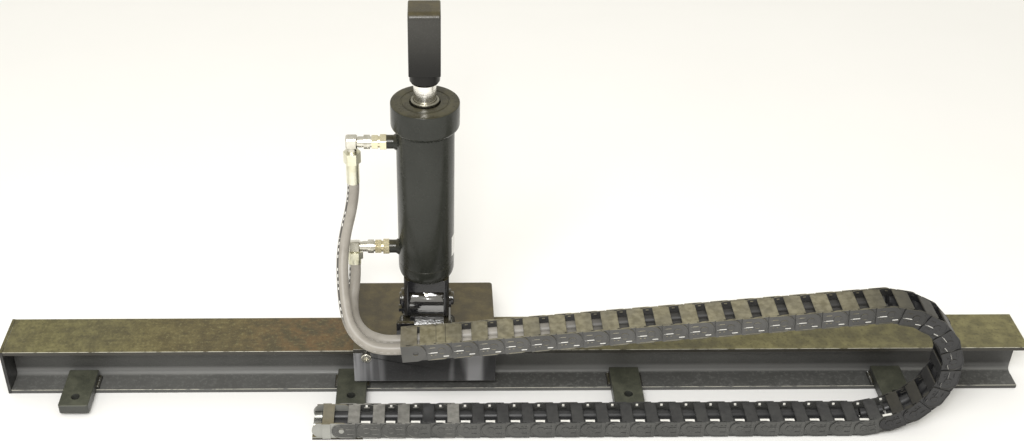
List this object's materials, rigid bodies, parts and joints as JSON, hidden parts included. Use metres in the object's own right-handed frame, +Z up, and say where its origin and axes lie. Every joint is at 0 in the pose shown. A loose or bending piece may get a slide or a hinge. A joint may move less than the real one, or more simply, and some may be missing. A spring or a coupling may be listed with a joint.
{
  "type": "pneumatic cylinder",
  "caption": "Clevis-mounted double-acting cylinder on a saddle that slides along an H-section rail, with its hoses fed through a cable chain looped in front of the rail.",
  "frame": {"origin": "on the underside of the rail, straight below the cylinder axis and in the plane of the rail's web", "axes": "+X along the rail towards the chain's bend, +Y away from the chain side, +Z up along the cylinder"},
  "size_m": [1.994, 0.333, 0.808],
  "materials": {
    "olive_black_paint": "semi-gloss paint",
    "gloss_black_paint": "gloss paint",
    "bare_weld": "painted weld bead",
    "zinc": "bright zinc plate",
    "yellow_zinc": "yellow zinc plate",
    "chrome": "hard chrome, polished",
    "machined_steel": "machined",
    "bronze": "plain bearing bronze",
    "seal_rubber": "moulded",
    "wear_plastic": "machined low-friction plastic",
    "chain_plastic": "glass-filled nylon",
    "hose_cover": "smooth grey rubber cover",
    "label": "blank film label"
  },
  "bodies": {
    "rail": {"rail_beam": "olive_black_paint", "rail_end_plate": "olive_black_paint", "rail_clips": "olive_black_paint", "rail_clip_welds": "bare_weld", "chain_anchor_strap": "gloss_black_paint", "chain_fixed_bracket": "chain_plastic", "chain_lower_links": "chain_plastic", "chain_lower_lids": "chain_plastic", "chain_lower_hoses": "hose_cover", "hose_tail_ends": "zinc"},
    "saddle": {"saddle_plate": "olive_black_paint", "saddle_front_skirt": "gloss_black_paint", "saddle_back_guide": "gloss_black_paint", "saddle_keepers": "gloss_black_paint", "keeper_screws": "zinc", "saddle_wear_pads": "wear_plastic", "clamp_screw": "zinc", "saddle_lug": "gloss_black_paint", "lug_weld": "bare_weld", "pivot_bush": "bronze", "grease_nipple": "zinc", "saddle_chain_arm": "gloss_black_paint", "hose_loop_upper": "hose_cover", "hose_loop_lower": "hose_cover"},
    "barrel": {"base_clevis": "gloss_black_paint", "pivot_pin": "machined_steel", "pin_keeper_plate": "gloss_black_paint", "pin_keeper_screw": "zinc", "pin_retaining_ring": "zinc", "end_cap": "gloss_black_paint", "barrel_tube": "gloss_black_paint", "port_bosses": "gloss_black_paint", "gland_cap": "gloss_black_paint", "gland_head": "machined_steel", "rod_seal": "seal_rubber", "gland_o_ring": "seal_rubber", "rod_wiper": "seal_rubber", "blank_label": "label", "port_adapters": "yellow_zinc", "swivel_collars": "zinc", "hose_elbows": "zinc", "hose_nuts": "yellow_zinc", "hose_ferrules": "zinc"},
    "rod": {"piston_rod": "chrome", "piston": "machined_steel", "piston_seal": "seal_rubber", "piston_wear_rings": "wear_plastic", "piston_nut": "machined_steel", "rod_end": "gloss_black_paint", "rod_end_bush": "bronze"},
    "chain_a": {"chain_link_a": "chain_plastic", "chain_link_a_hoses": "hose_cover"},
    "chain_bend": {"chain_bend_links": "chain_plastic", "chain_bend_lids": "chain_plastic", "chain_bend_hoses": "hose_cover"},
    "chain_b": {"chain_link_b": "chain_plastic", "chain_link_b_hoses": "hose_cover"},
    "chain_upper": {"chain_upper_links": "chain_plastic", "chain_upper_lids": "chain_plastic", "chain_upper_hoses": "hose_cover", "chain_moving_bracket": "chain_plastic"}
  },
  "joints": [
    {"name": "saddle_slide", "type": "slide", "parent": "rail", "child": "saddle", "axis": [1, 0, 0], "range_m": [-0.05, 0.05]},
    {"name": "barrel_pivot", "type": "hinge", "parent": "saddle", "child": "barrel", "pos_m": [0, 0, 0.194], "axis": [1, 0, 0], "range_deg": [-15, 15], "deforming": ["hose_loop_upper", "hose_loop_lower"]},
    {"name": "rod_slide", "type": "slide", "parent": "barrel", "child": "rod", "axis": [0, 0, 1], "range_m": [0, 0.165]},
    {"name": "chain_hinge_1", "type": "hinge", "parent": "rail", "child": "chain_a", "pos_m": [0.825, -0.156, 0.0208], "axis": [0, -1, 0], "range_deg": [-5.6, 5.6]},
    {"name": "chain_hinge_2", "type": "hinge", "parent": "chain_a", "child": "chain_bend", "pos_m": [0.87044, -0.156, 0.03281], "axis": [0, -1, 0], "range_deg": [-5.6, 5.6]},
    {"name": "chain_hinge_3", "type": "hinge", "parent": "chain_bend", "child": "chain_b", "pos_m": [0.86863, -0.156, 0.28526], "axis": [0, -1, 0], "range_deg": [-5.6, 5.6]},
    {"name": "chain_hinge_4", "type": "hinge", "parent": "chain_b", "child": "chain_upper", "pos_m": [0.82259, -0.156, 0.29469], "axis": [0, -1, 0], "range_deg": [-5.6, 5.6]}
  ],
  "couplings": [
    {"joint": "chain_hinge_1", "follows": "saddle_slide", "rad_per_m": -1.909},
    {"joint": "chain_hinge_2", "follows": "saddle_slide", "rad_per_m": -1.909},
    {"joint": "chain_hinge_3", "follows": "saddle_slide", "rad_per_m": 1.909},
    {"joint": "chain_hinge_4", "follows": "saddle_slide", "rad_per_m": 1.909}
  ]
}
